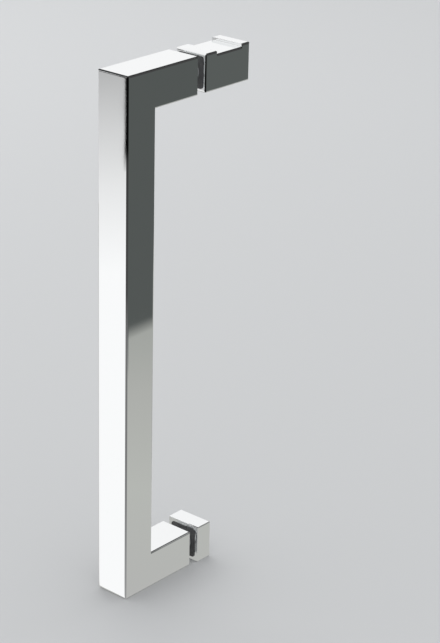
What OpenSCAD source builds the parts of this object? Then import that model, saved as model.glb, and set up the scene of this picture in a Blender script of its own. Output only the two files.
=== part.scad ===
// Pull handle for a glass shower door, fixed through two holes in the glass.
// X runs along the glass, Y points through it to the wet side, and Z is up.
// The origin lies on the dry face of the glass, midway between the two fixing centres.

/* [Grip] */
// Outside width of the square tube
tube_w = 19; // [17:0.5:30]
// Wall of the square tube
tube_wall = 1.2; // [1:0.1:1.5]
// Outside radius along the edges of the tube
tube_r = 1; // [0.5:0.1:1.5]
// Inside radius along the edges of the tube
bore_r = 0.3; // [0.2:0.1:0.8]
// Outside radius round the open end of each arm
end_r = 0.3; // [0.1:0.1:0.5]
// Height between the two fixing centres
centres = 250; // [150:1:600]
// From the face of the pull bar to the ends of the arms
reach = 48; // [40:0.5:90]

/* [Glass and pads] */
// Thickness of the door glass
glass_t = 5; // [4:0.5:12]
// Diameter of the two holes drilled in the glass
glass_hole_d = 10; // [10:0.5:12]
// Thickness of each pad between metal and glass
pad_t = 0.3; // [0.3:0.1:1.5]
// How far a front pad stops short of the edges of the tube
front_pad_margin = 1.1; // [0.3:0.1:1.5]
// How far a rear pad stops short of the edges of the tube
rear_pad_margin = 1.6; // [0.5:0.1:2.2]
// Radius at the corners of a rear pad
rear_pad_r = 1.5; // [0.5:0.1:2.5]

/* [Rear cap] */
// How far the cap stands out past the tube on each side
cap_overhang = 0.5; // [0:0.25:3]
// Thickness of the cap
cap_t = 9.5; // [8:0.5:20]
// Outside radius along the edges of the cap
cap_r = 0.5; // [0.3:0.1:1.5]

/* [Hook] */
// Length of the hook from its front face to its end
hook_l = 32; // [26:0.5:60]
// Length of the head that takes the fixing
hook_head_l = 8; // [7.5:0.5:12]
// Length of the raised lip at the end
hook_lip_l = 6; // [4:0.5:10]
// Depth of the saddle below the head and the lip
saddle_depth = 1.5; // [0.5:0.1:2]
// Outside radius along the edges of the hook
hook_r = 1; // [0.4:0.1:1.5]
// Radius at the top and the foot of the two walls of the saddle
saddle_wall_r = 0.3; // [0.1:0.1:0.5]

/* [Fixings] */
// Length of the plug in the end of each arm
plug_l = 12; // [9:0.5:20]
// Thread diameter of the stud
stud_d = 6; // [5:0.5:6]
// Diameter of the stud's shoulder in the glass hole
shoulder_d = 8; // [7:0.5:8]
// Wall of the sleeve on the shoulder
sleeve_wall = 0.4; // [0.3:0.1:0.4]
// Metal between the tube's outline and the round pocket that hides the clamp nut
pocket_wall = 2; // [1.5:0.1:3]
// Thickness of the clamp nut
nut_t = 5; // [4.5:0.5:6]
// Thickness of the washer under the clamp nut
washer_t = 1; // [0.8:0.1:1.5]
// Thread diameter of the grub screw
grub_d = 3; // [2.5:0.5:3]

/* [Hidden] */

// Segments of a full circle, and how far a cut runs past the face it opens
round_fn = 64;
overrun = 2;

// Running and seating clearances
plug_gap = 0.05;
thread_gap = 0.05;
sleeve_gap = 0.02;
pocket_gap = 0.5;
washer_gap = 0.3;

// Planes along Y, from the pull bar to the wet side
arm_end = -pad_t;
bar_front = arm_end - reach;
rear_face = glass_t + pad_t;
nut_front = rear_face + washer_t;
nut_rear = nut_front + nut_t;

// Grip
fixing_z = centres / 2;
bar_axis_y = bar_front + tube_w / 2;
tube_bore_w = tube_w - 2 * tube_wall;

// Plug, stud, sleeve and pads
plug_w = tube_bore_w - 2 * plug_gap;
thread_hole_d = stud_d + 2 * thread_gap;
stud_chamfer = 0.6;
stud_engaged = plug_l - 2 * stud_chamfer;
stud_socket_af = 3;
stud_socket_depth = 2.5;
// The shoulder stays a little short of the glass, so that the nut clamps the pads
shoulder_short = 0.3;
shoulder_end = glass_t - shoulder_short;
sleeve_bore_d = shoulder_d + 2 * sleeve_gap;
pad_hole_d = glass_hole_d + 2 * washer_gap;

// Washer, nut and the pocket that covers them
pocket_d = tube_w - 2 * pocket_wall;
nut_d = pocket_d - 2 * pocket_gap;
washer_d = nut_d;
pocket_depth = washer_t + nut_t + pocket_gap;
groove_depth = nut_t / 6;
groove_y = nut_front + nut_t / 2;
groove_floor_w = grub_d - 2 * groove_depth + 4 * thread_gap;
nut_chamfer = 0.4;
driver_slot_w = 1.6;
driver_slot_depth = 1.2;

// Cap and hook
cap_w = tube_w + 2 * cap_overhang;
saddle_h = tube_w - saddle_depth;

// Grub screw, whose point stands in the nut's groove
grub_hole_d = grub_d + 2 * thread_gap;
grub_point = groove_depth;
grub_tip_z = nut_d / 2 - groove_depth + thread_gap;
grub_recess = 0.3;
grub_l = tube_w / 2 - grub_tip_z - grub_recess;
grub_socket_af = 1.5;
grub_socket_depth = 1.2;

STEEL = [0.72, 0.73, 0.75];
CHROME = [0.86, 0.87, 0.89];
BRASS = [0.80, 0.68, 0.42];
CLEAR = [0.90, 0.91, 0.90];
RUBBER = [0.10, 0.10, 0.10];

// Rectangle w by h with true arcs of radius r at its corners
module rounded_square(w, h, r) {
    square([w - 2 * r, h], center = true);
    square([w, h - 2 * r], center = true);
    for (sx = [-1, 1], sy = [-1, 1])
        translate([sx * (w / 2 - r), sy * (h / 2 - r)]) circle(r, $fn = round_fn);
}

// Stands a shape drawn up the Z axis along +Y, starting at the given Y
module along_y(y) {
    translate([0, y, 0]) rotate([-90, 0, 0]) children();
}

// Extrudes an outline drawn in Y and Z across the whole width w
module across_x(w) {
    rotate([90, 0, 90]) linear_extrude(w, center = true) children();
}

// Block on the +Y side of a plane, with all its edges rounded. Where wall is 1 its +Y face,
// and where wall is -1 its -Y face, is a wall of the saddle and has that wall's finer edges.
module rounded_block(w, h, l, y, r, wall = 0) {
    intersection() {
        along_y(y) linear_extrude(l) rounded_square(w, h, r);
        translate([0, y + l / 2, 0]) across_x(w) {
            rounded_square(l, h, r);
            if (wall != 0) translate([wall * l / 4, 0]) rounded_square(l / 2, h, saddle_wall_r);
        }
        translate([0, y + l / 2, 0]) linear_extrude(h, center = true) {
            rounded_square(w, l, r);
            if (wall != 0) translate([0, wall * l / 4]) rounded_square(w, l / 2, saddle_wall_r);
        }
    }
}

// One leg of the grip: a rounded square bar cut to the mitred outline given in Y and Z
module mitred_bar(w, outline) {
    intersection() {
        translate([0, bar_axis_y, 0]) children();
        across_x(w + overrun) polygon(outline);
    }
}

// Outer or inner form of the grip: the pull bar and both arms, meeting in mitres
module grip_form(w, r, end_y) {
    top = fixing_z + w;
    inner = fixing_z - w;
    mitred_bar(w, [
        [bar_axis_y - w, top], [bar_axis_y + w, inner], [bar_axis_y + w, -inner], [bar_axis_y - w, -top]
    ]) linear_extrude(centres + 2 * w, center = true) rounded_square(w, w, r);
    for (side = [-1, 1])
        mitred_bar(w, [
            [bar_axis_y - w, side * top], [bar_axis_y + w, side * inner],
            [end_y, side * inner], [end_y, side * top]
        ]) translate([0, 0, side * fixing_z])
            along_y(-w) linear_extrude(end_y - bar_axis_y + w) rounded_square(w, w, r);
}

// What lies outside an arc of radius r in one quarter, towards turn_x and turn_y from its centre
module outside_quarter(r, turn_x, turn_y) {
    difference() {
        translate([turn_x * (r + overrun) / 2, turn_y * (r + overrun) / 2])
            square(r + overrun, center = true);
        circle(r, $fn = round_fn);
    }
}

// Rounds the fold where the face of the bar turns into the outside of an arm
module fold_cutter(side) {
    translate([0, bar_front + tube_r, side * (fixing_z + tube_w / 2 - tube_r)])
        across_x(tube_w + overrun) outside_quarter(tube_r, -1, side);
}

// Breaks the four outside edges round the open end of an arm
module end_cutter() {
    inset = tube_w / 2 - end_r;
    for (side = [-1, 1]) {
        translate([0, arm_end - end_r, side * inset])
            across_x(tube_w + overrun) outside_quarter(end_r, 1, side);
        translate([side * inset, arm_end - end_r, 0])
            linear_extrude(tube_w + overrun, center = true) outside_quarter(end_r, side, 1);
    }
}

module grip() {
    color(CHROME)
    difference() {
        grip_form(tube_w, tube_r, arm_end);
        grip_form(tube_bore_w, bore_r, arm_end + overrun);
        for (side = [-1, 1]) {
            fold_cutter(side);
            translate([0, 0, side * fixing_z]) end_cutter();
        }
    }
}

// Fills the end of an arm and takes the stud
module end_plug() {
    color(STEEL)
    difference() {
        along_y(arm_end - plug_l) linear_extrude(plug_l) rounded_square(plug_w, plug_w, bore_r);
        along_y(arm_end - plug_l - overrun) cylinder(d = thread_hole_d, h = plug_l + 2 * overrun, $fn = round_fn);
    }
}

// Flat square pad of side w with a hole for the shoulder and its sleeve
module pad(w, r, y) {
    along_y(y)
        linear_extrude(pad_t)
            difference() {
                rounded_square(w, w, r);
                circle(d = pad_hole_d, $fn = round_fn);
            }
}

// Clear pad between an arm and the dry face of the glass
module front_pad() {
    color(CLEAR) pad(tube_w - 2 * front_pad_margin, tube_r, arm_end);
}

// Rubber pad between the wet face of the glass and the hook or the cap
module rear_pad() {
    color(RUBBER) pad(tube_w - 2 * rear_pad_margin, rear_pad_r, glass_t);
}

// Turned stud: thread in the plug, shoulder in the glass, thread in the clamp nut
module stud() {
    front = arm_end - stud_engaged;
    rear = nut_rear - driver_slot_depth;
    thread_r = stud_d / 2;
    shoulder_r = shoulder_d / 2;
    color(STEEL)
    difference() {
        along_y(0) rotate_extrude($fn = round_fn) polygon([
            [0, front], [thread_r - stud_chamfer, front], [thread_r, front + stud_chamfer],
            [thread_r, arm_end], [shoulder_r, arm_end], [shoulder_r, shoulder_end],
            [thread_r, shoulder_end], [thread_r, rear - stud_chamfer],
            [thread_r - stud_chamfer, rear], [0, rear]
        ]);
        along_y(rear - stud_socket_depth) hexagon(stud_socket_af, stud_socket_depth + overrun);
    }
}

// Hexagonal bar measured across its flats
module hexagon(across_flats, l) {
    cylinder(d = across_flats / cos(30), h = l, $fn = 6);
}

// Clear tube that keeps the shoulder off the glass
module sleeve() {
    color(CLEAR)
    along_y(0)
        linear_extrude(glass_t)
            difference() {
                circle(d = sleeve_bore_d + 2 * sleeve_wall, $fn = round_fn);
                circle(d = sleeve_bore_d, $fn = round_fn);
            }
}

module washer() {
    color(STEEL)
    along_y(rear_face)
        linear_extrude(washer_t)
            difference() {
                circle(d = washer_d, $fn = round_fn);
                circle(d = stud_d + 2 * washer_gap, $fn = round_fn);
            }
}

// Round nut with a groove for the point of the grub screw and a slot for a driver
module clamp_nut() {
    nut_r = nut_d / 2;
    color(BRASS)
    difference() {
        along_y(nut_front) rotate_extrude($fn = round_fn) polygon([
            [thread_hole_d / 2, 0], [nut_r - nut_chamfer, 0], [nut_r, nut_chamfer],
            [nut_r, (nut_t - groove_floor_w) / 2 - groove_depth],
            [nut_r - groove_depth, (nut_t - groove_floor_w) / 2],
            [nut_r - groove_depth, (nut_t + groove_floor_w) / 2],
            [nut_r, (nut_t + groove_floor_w) / 2 + groove_depth],
            [nut_r, nut_t - nut_chamfer], [nut_r - nut_chamfer, nut_t], [thread_hole_d / 2, nut_t]
        ]);
        translate([0, nut_rear, 0])
            cube([nut_d + overrun, 2 * driver_slot_depth, driver_slot_w], center = true);
    }
}

// Round pocket over the washer and the nut, and the threaded hole below it
module fixing_pocket() {
    along_y(rear_face - overrun) cylinder(d = pocket_d, h = pocket_depth + overrun, $fn = round_fn);
    translate([0, groove_y, -cap_w]) cylinder(d = grub_hole_d, h = cap_w, $fn = round_fn);
}

// Plain square block that covers the lower fixing
module rear_cap() {
    color(CHROME)
    translate([0, 0, -fixing_z])
        difference() {
            rounded_block(cap_w, cap_w, cap_t, rear_face, cap_r);
            fixing_pocket();
        }
}

// Fills a corner of the saddle with a hollow curve; turned is 1 at the head and -1 at the lip
module saddle_curve(y, turned) {
    across_x(tube_w - 2 * hook_r)
        translate([y, saddle_h - tube_w / 2])
            difference() {
                translate([turned < 0 ? -saddle_wall_r : -hook_r, -hook_r])
                    square([saddle_wall_r + hook_r, saddle_wall_r + hook_r]);
                translate([turned * saddle_wall_r, saddle_wall_r]) circle(saddle_wall_r, $fn = round_fn);
            }
}

// Square bar whose top is sunk between its head and its end lip
module hook() {
    saddle_z = (saddle_h - tube_w) / 2;
    head_end = rear_face + hook_head_l;
    lip_start = rear_face + hook_l - hook_lip_l;
    color(CHROME)
    translate([0, 0, fixing_z])
        difference() {
            union() {
                rounded_block(tube_w, tube_w, hook_head_l, rear_face, hook_r, wall = 1);
                rounded_block(tube_w, tube_w, hook_lip_l, lip_start, hook_r, wall = -1);
                translate([0, 0, saddle_z])
                    along_y(rear_face + hook_r)
                        linear_extrude(hook_l - 2 * hook_r) rounded_square(tube_w, saddle_h, hook_r);
                saddle_curve(head_end, 1);
                saddle_curve(lip_start, -1);
            }
            fixing_pocket();
        }
}

// Screw with a cone point, driven up from below into the groove
module grub_screw() {
    grub_r = grub_d / 2;
    color(STEEL)
    translate([0, groove_y, -grub_tip_z - grub_l])
        difference() {
            rotate_extrude($fn = round_fn) polygon([
                [0, 0], [grub_r, 0], [grub_r, grub_l - grub_point],
                [grub_r - grub_point, grub_l], [0, grub_l]
            ]);
            translate([0, 0, -overrun]) hexagon(grub_socket_af, grub_socket_depth + overrun);
        }
}

module upper() {
    translate([0, 0, fixing_z]) children();
}

module lower() {
    translate([0, 0, -fixing_z]) children();
}

grip();
upper() end_plug();  // upper_end_plug
lower() end_plug();  // lower_end_plug
upper() front_pad();  // upper_front_pad
lower() front_pad();  // lower_front_pad
upper() stud();  // upper_stud
lower() stud();  // lower_stud
upper() sleeve();  // upper_sleeve
lower() sleeve();  // lower_sleeve
upper() rear_pad();  // upper_rear_pad
lower() rear_pad();  // lower_rear_pad
upper() washer();  // upper_washer
lower() washer();  // lower_washer
upper() clamp_nut();  // upper_clamp_nut
lower() clamp_nut();  // lower_clamp_nut
hook();
rear_cap();
upper() grub_screw();  // upper_grub_screw
lower() grub_screw();  // lower_grub_screw
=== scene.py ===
"""Finish, studio and camera for a polished pull handle with a hook, fixed through a glass shower door.

Every length is in metres, in the frame of the CAD model: X runs along the glass, Y points
through it to the wet side, and Z is up.
"""
import math

import bpy
from mathutils import Matrix, Vector


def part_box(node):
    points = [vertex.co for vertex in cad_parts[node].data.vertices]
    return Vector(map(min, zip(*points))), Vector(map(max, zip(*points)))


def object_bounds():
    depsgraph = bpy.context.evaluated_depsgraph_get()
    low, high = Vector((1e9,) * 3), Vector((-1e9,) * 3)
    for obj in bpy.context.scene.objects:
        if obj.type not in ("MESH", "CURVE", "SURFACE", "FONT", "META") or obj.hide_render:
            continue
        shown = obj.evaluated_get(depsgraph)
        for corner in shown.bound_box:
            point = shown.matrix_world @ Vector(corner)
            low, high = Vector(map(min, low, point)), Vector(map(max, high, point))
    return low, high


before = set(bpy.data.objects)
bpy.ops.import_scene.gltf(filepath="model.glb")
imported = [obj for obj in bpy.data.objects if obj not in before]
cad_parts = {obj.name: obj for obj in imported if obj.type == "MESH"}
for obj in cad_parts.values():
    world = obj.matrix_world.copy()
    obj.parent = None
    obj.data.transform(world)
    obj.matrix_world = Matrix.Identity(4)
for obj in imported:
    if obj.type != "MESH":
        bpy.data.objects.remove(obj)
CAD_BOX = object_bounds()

# Camera, at the photograph's viewing angle
CAMERA_PLACE = Vector((0.63373, -0.72194, 0.39670))
CAMERA_YAW = math.radians(40.088)
CAMERA_PITCH = math.radians(22.510)
CAMERA_ROLL = math.radians(1.296)
SENSOR_HEIGHT_MM = 36
LENS_MM = 118.14

# Colour of each finish, and the range of its roughness over the surface
CHROME_COLOUR = (0.90, 0.91, 0.915)
CHROME_ROUGHNESS = (0.02, 0.04)
STEEL_COLOUR = (0.62, 0.63, 0.65)
STEEL_ROUGHNESS = (0.24, 0.38)
BRASS_COLOUR = (0.78, 0.60, 0.32)
BRASS_ROUGHNESS = (0.22, 0.36)
# The rear pads are near black to paint the shade and dark reflection in the gap between each arm and its
# rear piece.
REAR_PAD_SHADE_COLOUR = (0.07, 0.07, 0.072)
SLEEVE_COLOUR = (0.93, 0.94, 0.935)
SOFT_ROUGHNESS = (0.32, 0.5)

# Noise in the finishes, as (waves a metre, detail), and the range in which most of its values lie
POLISH_HAZE = (60, 3)
POLISH_WAVES = (25, 1)
TURNED_GRAIN = (900, 2)
SOFT_GRAIN = (700, 2)
NOISE_RANGE = (0.3, 0.7)

# Bump that the noise gives each finish, as (strength, depth)
CHROME_BUMP = (0.03, 0.001)
TURNED_BUMP = (0.15, 0.0001)
SOFT_BUMP = (0.1, 0.0001)

# Floor
FLOOR_SIZE = 60.0
FLOOR_COLOUR = (0.61, 0.615, 0.62)
FLOOR_ROUGHNESS = 0.9
FLOOR_SPECULAR = 0.1
FLOOR_Z = CAD_BOX[0][2]

# World: its colour rises with the height of the direction
WORLD_HORIZON = (0.60, 0.61, 0.62)
WORLD_ZENITH = (0.95, 0.96, 0.97)
ZENITH_FROM = 0.6

# Soft lamp, with its power in watts
KEY_PLACE = Vector((-1.25, 0.35, 0.75))
KEY_WIDTH = 1.4
KEY_HEIGHT = 0.9
KEY_POWER = 4.2

# The studio's cards stand and lie round this point under the front corner of the pull bar.
# Directions are degrees from +X towards +Y, and a curved card has a corner every few of them.
CARD_CENTRE = Vector((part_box("grip")[1].x, CAD_BOX[0][1], FLOOR_Z))
CARD_STEP = 5
SHEET_LIFT = 0.0004

# The front of the bar mirrors directions before CORNER_FROM, and its near corner those after it.
# The grey cards at the front right start at GREY_FROM.
CORNER_FROM = -133.18
GREY_FROM = -120

# Distance of the screens at the front right, where the grey sheet before them ends
TABLE_RADIUS = 0.335
SCREEN_HEIGHT = 0.6

# Heights between which the black line down the near corner of the bar fades out
FADE_FROM = 0.113
BLACK_FROM = 0.126

# Levels of light of the plain cards
BLACK = 0.003
DARK = 0.05
DARK_CEILING = 0.04
WHITE = 1.0
SOFT_WHITE = 0.95
ARM_CARD_LEVEL = 0.36

# Light of the sheets on the floor, as (distance from the centre, level or colour)
WHITE_SHEET_LIGHT = [(0.0, 1.05), (0.45, 1.05), (0.63, 0.88), (0.73, 0.76), (0.85, 0.63), (0.97, 0.50)]
GREY_SHEET_LIGHT = [(0.0, 0.34), (0.06, 0.27), (0.15, 0.20), (TABLE_RADIUS, 0.18)]
BACK_SHEET_LIGHT = [
    (0.0, (0.50, 0.50, 0.485)), (0.12, (0.51, 0.52, 0.49)), (0.25, (0.46, 0.465, 0.44)),
    (0.32, (0.41, 0.42, 0.395)), (0.36, (0.395, 0.405, 0.38)), (0.6, (0.37, 0.38, 0.36)),
]

# Light of the screens, as (height above the floor, level or colour)
GREY_SCREEN_LIGHT = [(0.0, 0.18), (0.03, 0.07), (0.118, 0.045), (BLACK_FROM, BLACK)]
FADING_SCREEN_LIGHT = [(FADE_FROM, 0.75), (BLACK_FROM, BLACK)]

# Screens that the near sides of the grip and of the hook mirror: their feet, as (direction,
# distance), and their colour from just above a light foot to where they turn darker
GRIP_SCREEN_FEET = [(0, 0.335), (16, 0.290), (34, 0.268), (54, 0.387)]
HOOK_SCREEN_FEET = [(54, 0.387), (58, 0.450), (75, 0.512), (95, 0.512)]
GRIP_SCREEN_COLOUR = (0.093, 0.102, 0.098)
HOOK_SCREEN_COLOUR = (0.105, 0.115, 0.110)
FOOT_COLOUR = (0.38, 0.39, 0.365)
FOOT_TOP = 0.0088
DARKER_FROM = 0.19
DARKER_TO = 0.22
DARKER = 0.06

# Far screens on the left: directions, distance and heights
BACK_LEFT_TURNS = (105, 160)
BACK_LEFT_DISTANCE = 1.25
BACK_LEFT_HEIGHTS = (0.1, 1.0)
FRONT_LEFT_TURNS = (218, 236)
FRONT_LEFT_DISTANCE = 1.2
FRONT_LEFT_HEIGHTS = (0.48, 0.72)
DARK_LEFT_TURNS = (165, 245)
DARK_LEFT_DISTANCE = 1.3
DARK_LEFT_HEIGHTS = (0, 1.2)

# Ceiling, a flat polygon over the centre
CEILING_RADIUS = 1.6
CEILING_HEIGHT = 1.1
CEILING_SIDES = 12

# Small white cards over the hook and the cap, and a grey one upright beside the lower arm
CARD_LIFT = 0.020
HOOK_CARD_X = (-0.045, -0.007)
HOOK_CARD_Y = (-0.034, 0.045)
CAP_CARD_X = (-0.045, -0.011)
CAP_CARD_Y = (-0.028, 0.025)
ARM_CARD_X = 0.040
ARM_CARD_Y = (0.008, 0.110)
ARM_CARD_Z = (-0.103, -0.040)


def node_material(name):
    """A new material with nothing but its output."""
    material = bpy.data.materials.new(name)
    material.use_nodes = True
    tree = material.node_tree
    tree.nodes.clear()
    output = tree.nodes.new("ShaderNodeOutputMaterial")
    return material, tree, output


def add(tree, kind, settings=None, inputs=None):
    """Adds a node, sets its properties and the values of its named sockets."""
    node = tree.nodes.new("ShaderNode" + kind)
    for key, value in (settings or {}).items():
        setattr(node, key, value)
    for key, value in (inputs or {}).items():
        node.inputs[key].default_value = value
    return node


def principled(tree, output, colour, **inputs):
    """The main shader of a finish; inputs are its sockets, with _ for a space."""
    values = {key.replace("_", " "): value for key, value in inputs.items()}
    shader = add(tree, "BsdfPrincipled", inputs={"Base Color": (*colour, 1), **values})
    tree.links.new(shader.outputs["BSDF"], output.inputs["Surface"])
    return shader


def object_noise(tree, waves, detail):
    """Noise fixed to the object, at so many waves a metre."""
    place = add(tree, "TexCoord")
    noise = add(tree, "TexNoise", inputs={"Scale": waves, "Detail": detail})
    tree.links.new(place.outputs["Object"], noise.inputs["Vector"])
    return noise.outputs["Fac"]


def mapped(tree, source, from_range, to_range):
    """The source's value carried from one range to another."""
    node = add(tree, "MapRange", inputs={
        "From Min": from_range[0], "From Max": from_range[1], "To Min": to_range[0], "To Max": to_range[1],
    })
    tree.links.new(source, node.inputs["Value"])
    return node.outputs["Result"]


def ramp(tree, source, stops):
    """A colour ramp through (position, colour) stops."""
    node = add(tree, "ValToRGB")
    elements = node.color_ramp.elements
    while len(elements) < len(stops):
        elements.new(1.0)
    for element, (position, colour) in zip(elements, stops):
        element.position = position
        element.color = (*colour, 1)
    tree.links.new(source, node.inputs["Fac"])
    return node.outputs["Color"]


def roughened(tree, shader, noise, roughness):
    """Lets the roughness follow the noise through a range."""
    tree.links.new(mapped(tree, noise, NOISE_RANGE, roughness), shader.inputs["Roughness"])


def bumped(tree, shader, noise, strength, depth):
    """Lets the noise raise the surface a little."""
    bump = add(tree, "Bump", inputs={"Strength": strength, "Distance": depth})
    tree.links.new(noise, bump.inputs["Height"])
    tree.links.new(bump.outputs["Normal"], shader.inputs["Normal"])


def chrome_material():
    """Mirror chrome with a faint waviness from polishing and a little haze."""
    material, tree, output = node_material("chrome_finish")
    shader = principled(tree, output, CHROME_COLOUR, Metallic=1.0)
    roughened(tree, shader, object_noise(tree, *POLISH_HAZE), CHROME_ROUGHNESS)
    bumped(tree, shader, object_noise(tree, *POLISH_WAVES), *CHROME_BUMP)
    return material


def turned_material(name, colour, roughness):
    """Turned metal with a fine grain."""
    material, tree, output = node_material(name)
    shader = principled(tree, output, colour, Metallic=1.0)
    grain = object_noise(tree, *TURNED_GRAIN)
    roughened(tree, shader, grain, roughness)
    bumped(tree, shader, grain, *TURNED_BUMP)
    return material


def soft_material(name, colour):
    """Soft plastic or rubber with a fine matt grain."""
    material, tree, output = node_material(name)
    shader = principled(tree, output, colour)
    grain = object_noise(tree, *SOFT_GRAIN)
    roughened(tree, shader, grain, SOFT_ROUGHNESS)
    bumped(tree, shader, grain, *SOFT_BUMP)
    return material


def dress(nodes, material):
    """Gives CAD nodes a material in place of the one they were packed with."""
    for name in nodes:
        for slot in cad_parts[name].material_slots:
            slot.material = material


def both(part):
    """The node names of a part that each of the two fixings has."""
    return [f"upper_{part}", f"lower_{part}"]


def dress_nodes():
    dress(["grip", "hook", "rear_cap"], chrome_material())
    steel = turned_material("steel_finish", STEEL_COLOUR, STEEL_ROUGHNESS)
    dress(both("end_plug") + both("stud") + both("washer") + both("grub_screw"), steel)
    dress(both("clamp_nut"), turned_material("brass_finish", BRASS_COLOUR, BRASS_ROUGHNESS))
    # The rear pads get a near-black colour that paints the shade and dark reflection in the gaps.
    dress(both("rear_pad"), soft_material("rubber_finish", REAR_PAD_SHADE_COLOUR))
    dress(both("front_pad") + both("sleeve"), soft_material("sleeve_finish", SLEEVE_COLOUR))


def stage_mesh(name, corners, faces, place=(0, 0, 0)):
    """A mesh that is part of the studio, with its own zero at the given place."""
    mesh = bpy.data.meshes.new(name)
    mesh.from_pydata(corners, [], faces)
    sheet = bpy.data.objects.new(name, mesh)
    sheet.location = place
    bpy.context.scene.collection.objects.link(sheet)
    return sheet


def rectangle(x_range, y_range, z):
    """The corners of a level rectangle, in order round it."""
    (x0, x1), (y0, y1) = x_range, y_range
    return [(x0, y0, z), (x1, y0, z), (x1, y1, z), (x0, y1, z)]


def make_floor():
    side = (-FLOOR_SIZE / 2, FLOOR_SIZE / 2)
    floor = stage_mesh("floor", rectangle(side, side, FLOOR_Z), [(0, 1, 2, 3)])
    material, tree, output = node_material("floor_finish")
    principled(tree, output, FLOOR_COLOUR, Roughness=FLOOR_ROUGHNESS, Specular_IOR_Level=FLOOR_SPECULAR)
    floor.data.materials.append(material)


def grey(level):
    return (level, level, level)


def grey_stops(stops):
    """Turns (measure, level) stops into (measure, colour) ones."""
    return [(measure, grey(level)) for measure, level in stops]


def even_stops(low, high, level):
    """Stops of one level from end to end."""
    return grey_stops([(low, level), (high, level)])


def distance_from_zero(tree):
    """How far a point lies from the zero of its card."""
    place = add(tree, "TexCoord")
    length = add(tree, "VectorMath", {"operation": "LENGTH"})
    tree.links.new(place.outputs["Object"], length.inputs["Vector"])
    return length.outputs["Value"]


def height_over_zero(tree):
    """How high a point lies over the zero of its card."""
    place = add(tree, "TexCoord")
    split = add(tree, "SeparateXYZ")
    tree.links.new(place.outputs["Object"], split.inputs["Vector"])
    return split.outputs["Z"]


def card_finish(card, measure, stops):
    """Makes a card glow that only reflections see; its light follows a measure through the stops."""
    material, tree, output = node_material(card.name + "_finish")
    low, high = stops[0][0], stops[-1][0]
    share = mapped(tree, measure(tree), (low, high), (0, 1))
    colour = ramp(tree, share, [((value - low) / (high - low), tint) for value, tint in stops])
    shader = add(tree, "Emission")
    tree.links.new(colour, shader.inputs["Color"])
    tree.links.new(shader.outputs["Emission"], output.inputs["Surface"])
    card.data.materials.append(material)
    card.visible_camera = False
    card.visible_diffuse = False
    card.visible_shadow = False


def ray(degrees, distance, height=0.0):
    """The point at a distance in a direction, at a height."""
    angle = math.radians(degrees)
    return (distance * math.cos(angle), distance * math.sin(angle), height)


def floor_fan(name, start, end, stops):
    """A sheet on the floor between two directions, out to the distance of its last stop."""
    turns = range(start, end + 1, CARD_STEP)
    corners = [(0, 0, 0)] + [ray(turn, stops[-1][0]) for turn in turns]
    faces = [(0, i, i + 1) for i in range(1, len(turns))]
    card = stage_mesh(name, corners, faces, CARD_CENTRE + Vector((0, 0, SHEET_LIFT)))
    card_finish(card, distance_from_zero, stops)


def curved_feet(start, end, distance):
    """Feet at one distance, from one direction to another."""
    steps = max(1, round((end - start) / CARD_STEP))
    return [(start + (end - start) * i / steps, distance) for i in range(steps + 1)]


def standing_screen(name, feet, stops):
    """A screen along (direction, distance) feet, from the height of its first stop to its last."""
    corners = [ray(*foot, height) for foot in feet for height in (stops[0][0], stops[-1][0])]
    faces = [(2 * i, 2 * i + 2, 2 * i + 3, 2 * i + 1) for i in range(len(feet) - 1)]
    card = stage_mesh(name, corners, faces, CARD_CENTRE)
    card_finish(card, height_over_zero, stops)


def make_floor_sheets():
    floor_fan("white_sheet_front_left", 185, 240, grey_stops(WHITE_SHEET_LIGHT))
    floor_fan("grey_sheet_front_right", GREY_FROM, -5, grey_stops(GREY_SHEET_LIGHT))
    floor_fan("light_sheet_back", -5, 185, BACK_SHEET_LIGHT)


def make_front_right_screens():
    """Grey below and black above, for the near corner of the pull bar."""
    grey_feet = curved_feet(GREY_FROM, 0, TABLE_RADIUS)
    black_feet = curved_feet(CORNER_FROM, 0, TABLE_RADIUS)
    fading_feet = curved_feet(CORNER_FROM, GREY_FROM, TABLE_RADIUS)
    standing_screen("grey_screen_front_right", grey_feet, grey_stops(GREY_SCREEN_LIGHT))
    standing_screen("black_screen_front_right", black_feet, even_stops(BLACK_FROM, SCREEN_HEIGHT, BLACK))
    standing_screen("fading_screen_front_right", fading_feet, grey_stops(FADING_SCREEN_LIGHT))


def make_back_right_screen(name, feet, colour):
    standing_screen(name, feet, [
        (0.0, FOOT_COLOUR), (FOOT_TOP, colour), (DARKER_FROM, colour),
        (DARKER_TO, grey(DARKER)), (SCREEN_HEIGHT, grey(DARKER)),
    ])


def make_far_screen(name, turns, distance, heights, level):
    standing_screen(name, curved_feet(*turns, distance), even_stops(*heights, level))


def make_screens():
    make_front_right_screens()
    make_back_right_screen("grip_screen_back_right", GRIP_SCREEN_FEET, GRIP_SCREEN_COLOUR)
    make_back_right_screen("hook_screen_back_right", HOOK_SCREEN_FEET, HOOK_SCREEN_COLOUR)
    make_far_screen(
        "white_screen_back_left", BACK_LEFT_TURNS, BACK_LEFT_DISTANCE, BACK_LEFT_HEIGHTS, WHITE,
    )
    make_far_screen(
        "white_screen_front_left", FRONT_LEFT_TURNS, FRONT_LEFT_DISTANCE, FRONT_LEFT_HEIGHTS, SOFT_WHITE,
    )
    make_far_screen(
        "dark_screen_front_left", DARK_LEFT_TURNS, DARK_LEFT_DISTANCE, DARK_LEFT_HEIGHTS, DARK,
    )


def small_card(name, corners, level):
    """A glowing four-sided card at given places, for one edge to mirror."""
    card = stage_mesh(name, corners, [(0, 1, 2, 3)])
    card_finish(card, distance_from_zero, even_stops(0, 1, level))


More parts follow.
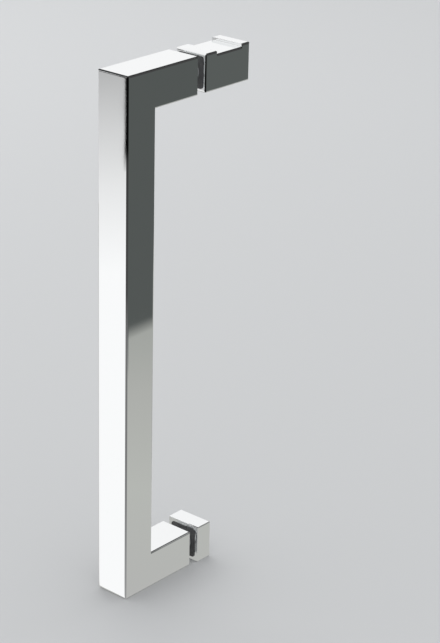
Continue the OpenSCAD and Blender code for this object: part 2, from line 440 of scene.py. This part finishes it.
def make_small_cards():
    hook_card_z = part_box("hook")[1].z + CARD_LIFT
    cap_card_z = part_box("rear_cap")[1].z + CARD_LIFT
    small_card("white_card_over_hook", rectangle(HOOK_CARD_X, HOOK_CARD_Y, hook_card_z), WHITE)
    small_card("white_card_over_cap", rectangle(CAP_CARD_X, CAP_CARD_Y, cap_card_z), WHITE)
    x, (y0, y1), (z0, z1) = ARM_CARD_X, ARM_CARD_Y, ARM_CARD_Z
    small_card("grey_card_beside_arm", [(x, y0, z0), (x, y1, z0), (x, y1, z1), (x, y0, z1)], ARM_CARD_LEVEL)


def make_ceiling():
    ceiling = stage_mesh(
        "dark_ceiling",
        [ray(360 * i / CEILING_SIDES, CEILING_RADIUS) for i in range(CEILING_SIDES)],
        [tuple(range(CEILING_SIDES))],
        CARD_CENTRE + Vector((0, 0, CEILING_HEIGHT)),
    )
    card_finish(ceiling, distance_from_zero, even_stops(0, CEILING_RADIUS, DARK_CEILING))


def make_world():
    world = bpy.data.worlds.new("studio")
    bpy.context.scene.world = world
    world.use_nodes = True
    tree = world.node_tree
    tree.nodes.clear()
    output = add(tree, "OutputWorld")
    background = add(tree, "Background", inputs={"Strength": 1.0})
    place = add(tree, "TexCoord")
    split = add(tree, "SeparateXYZ")
    tree.links.new(place.outputs["Generated"], split.inputs["Vector"])
    colour = ramp(tree, split.outputs["Z"], [(0.0, WORLD_HORIZON), (ZENITH_FROM, WORLD_ZENITH)])
    tree.links.new(colour, background.inputs["Color"])
    tree.links.new(background.outputs["Background"], output.inputs["Surface"])


def make_key_lamp():
    """A soft lamp that looks at the middle of the handle; in reflections the cards stand for it."""
    data = bpy.data.lights.new("key_softbox", "AREA")
    data.shape = "RECTANGLE"
    data.size = KEY_WIDTH
    data.size_y = KEY_HEIGHT
    data.energy = KEY_POWER
    lamp = bpy.data.objects.new("key_softbox", data)
    lamp.location = KEY_PLACE
    lamp.rotation_euler = (-KEY_PLACE).to_track_quat("-Z", "Y").to_euler()
    lamp.visible_glossy = False
    bpy.context.scene.collection.objects.link(lamp)


def make_camera():
    data = bpy.data.cameras.new("camera")
    data.sensor_fit = "VERTICAL"
    data.sensor_height = SENSOR_HEIGHT_MM
    data.lens = LENS_MM
    camera = bpy.data.objects.new("camera", data)
    camera.matrix_world = (
        Matrix.Translation(CAMERA_PLACE)
        @ Matrix.Rotation(CAMERA_YAW, 4, "Z")
        @ Matrix.Rotation(math.radians(90) - CAMERA_PITCH, 4, "X")
        @ Matrix.Rotation(CAMERA_ROLL, 4, "Z")
    )
    bpy.context.scene.collection.objects.link(camera)
    bpy.context.scene.camera = camera


bpy.context.scene.view_settings.view_transform = "Standard"
make_camera()
dress_nodes()
make_floor()
make_floor_sheets()
make_screens()
make_small_cards()
make_ceiling()
make_world()
make_key_lamp()
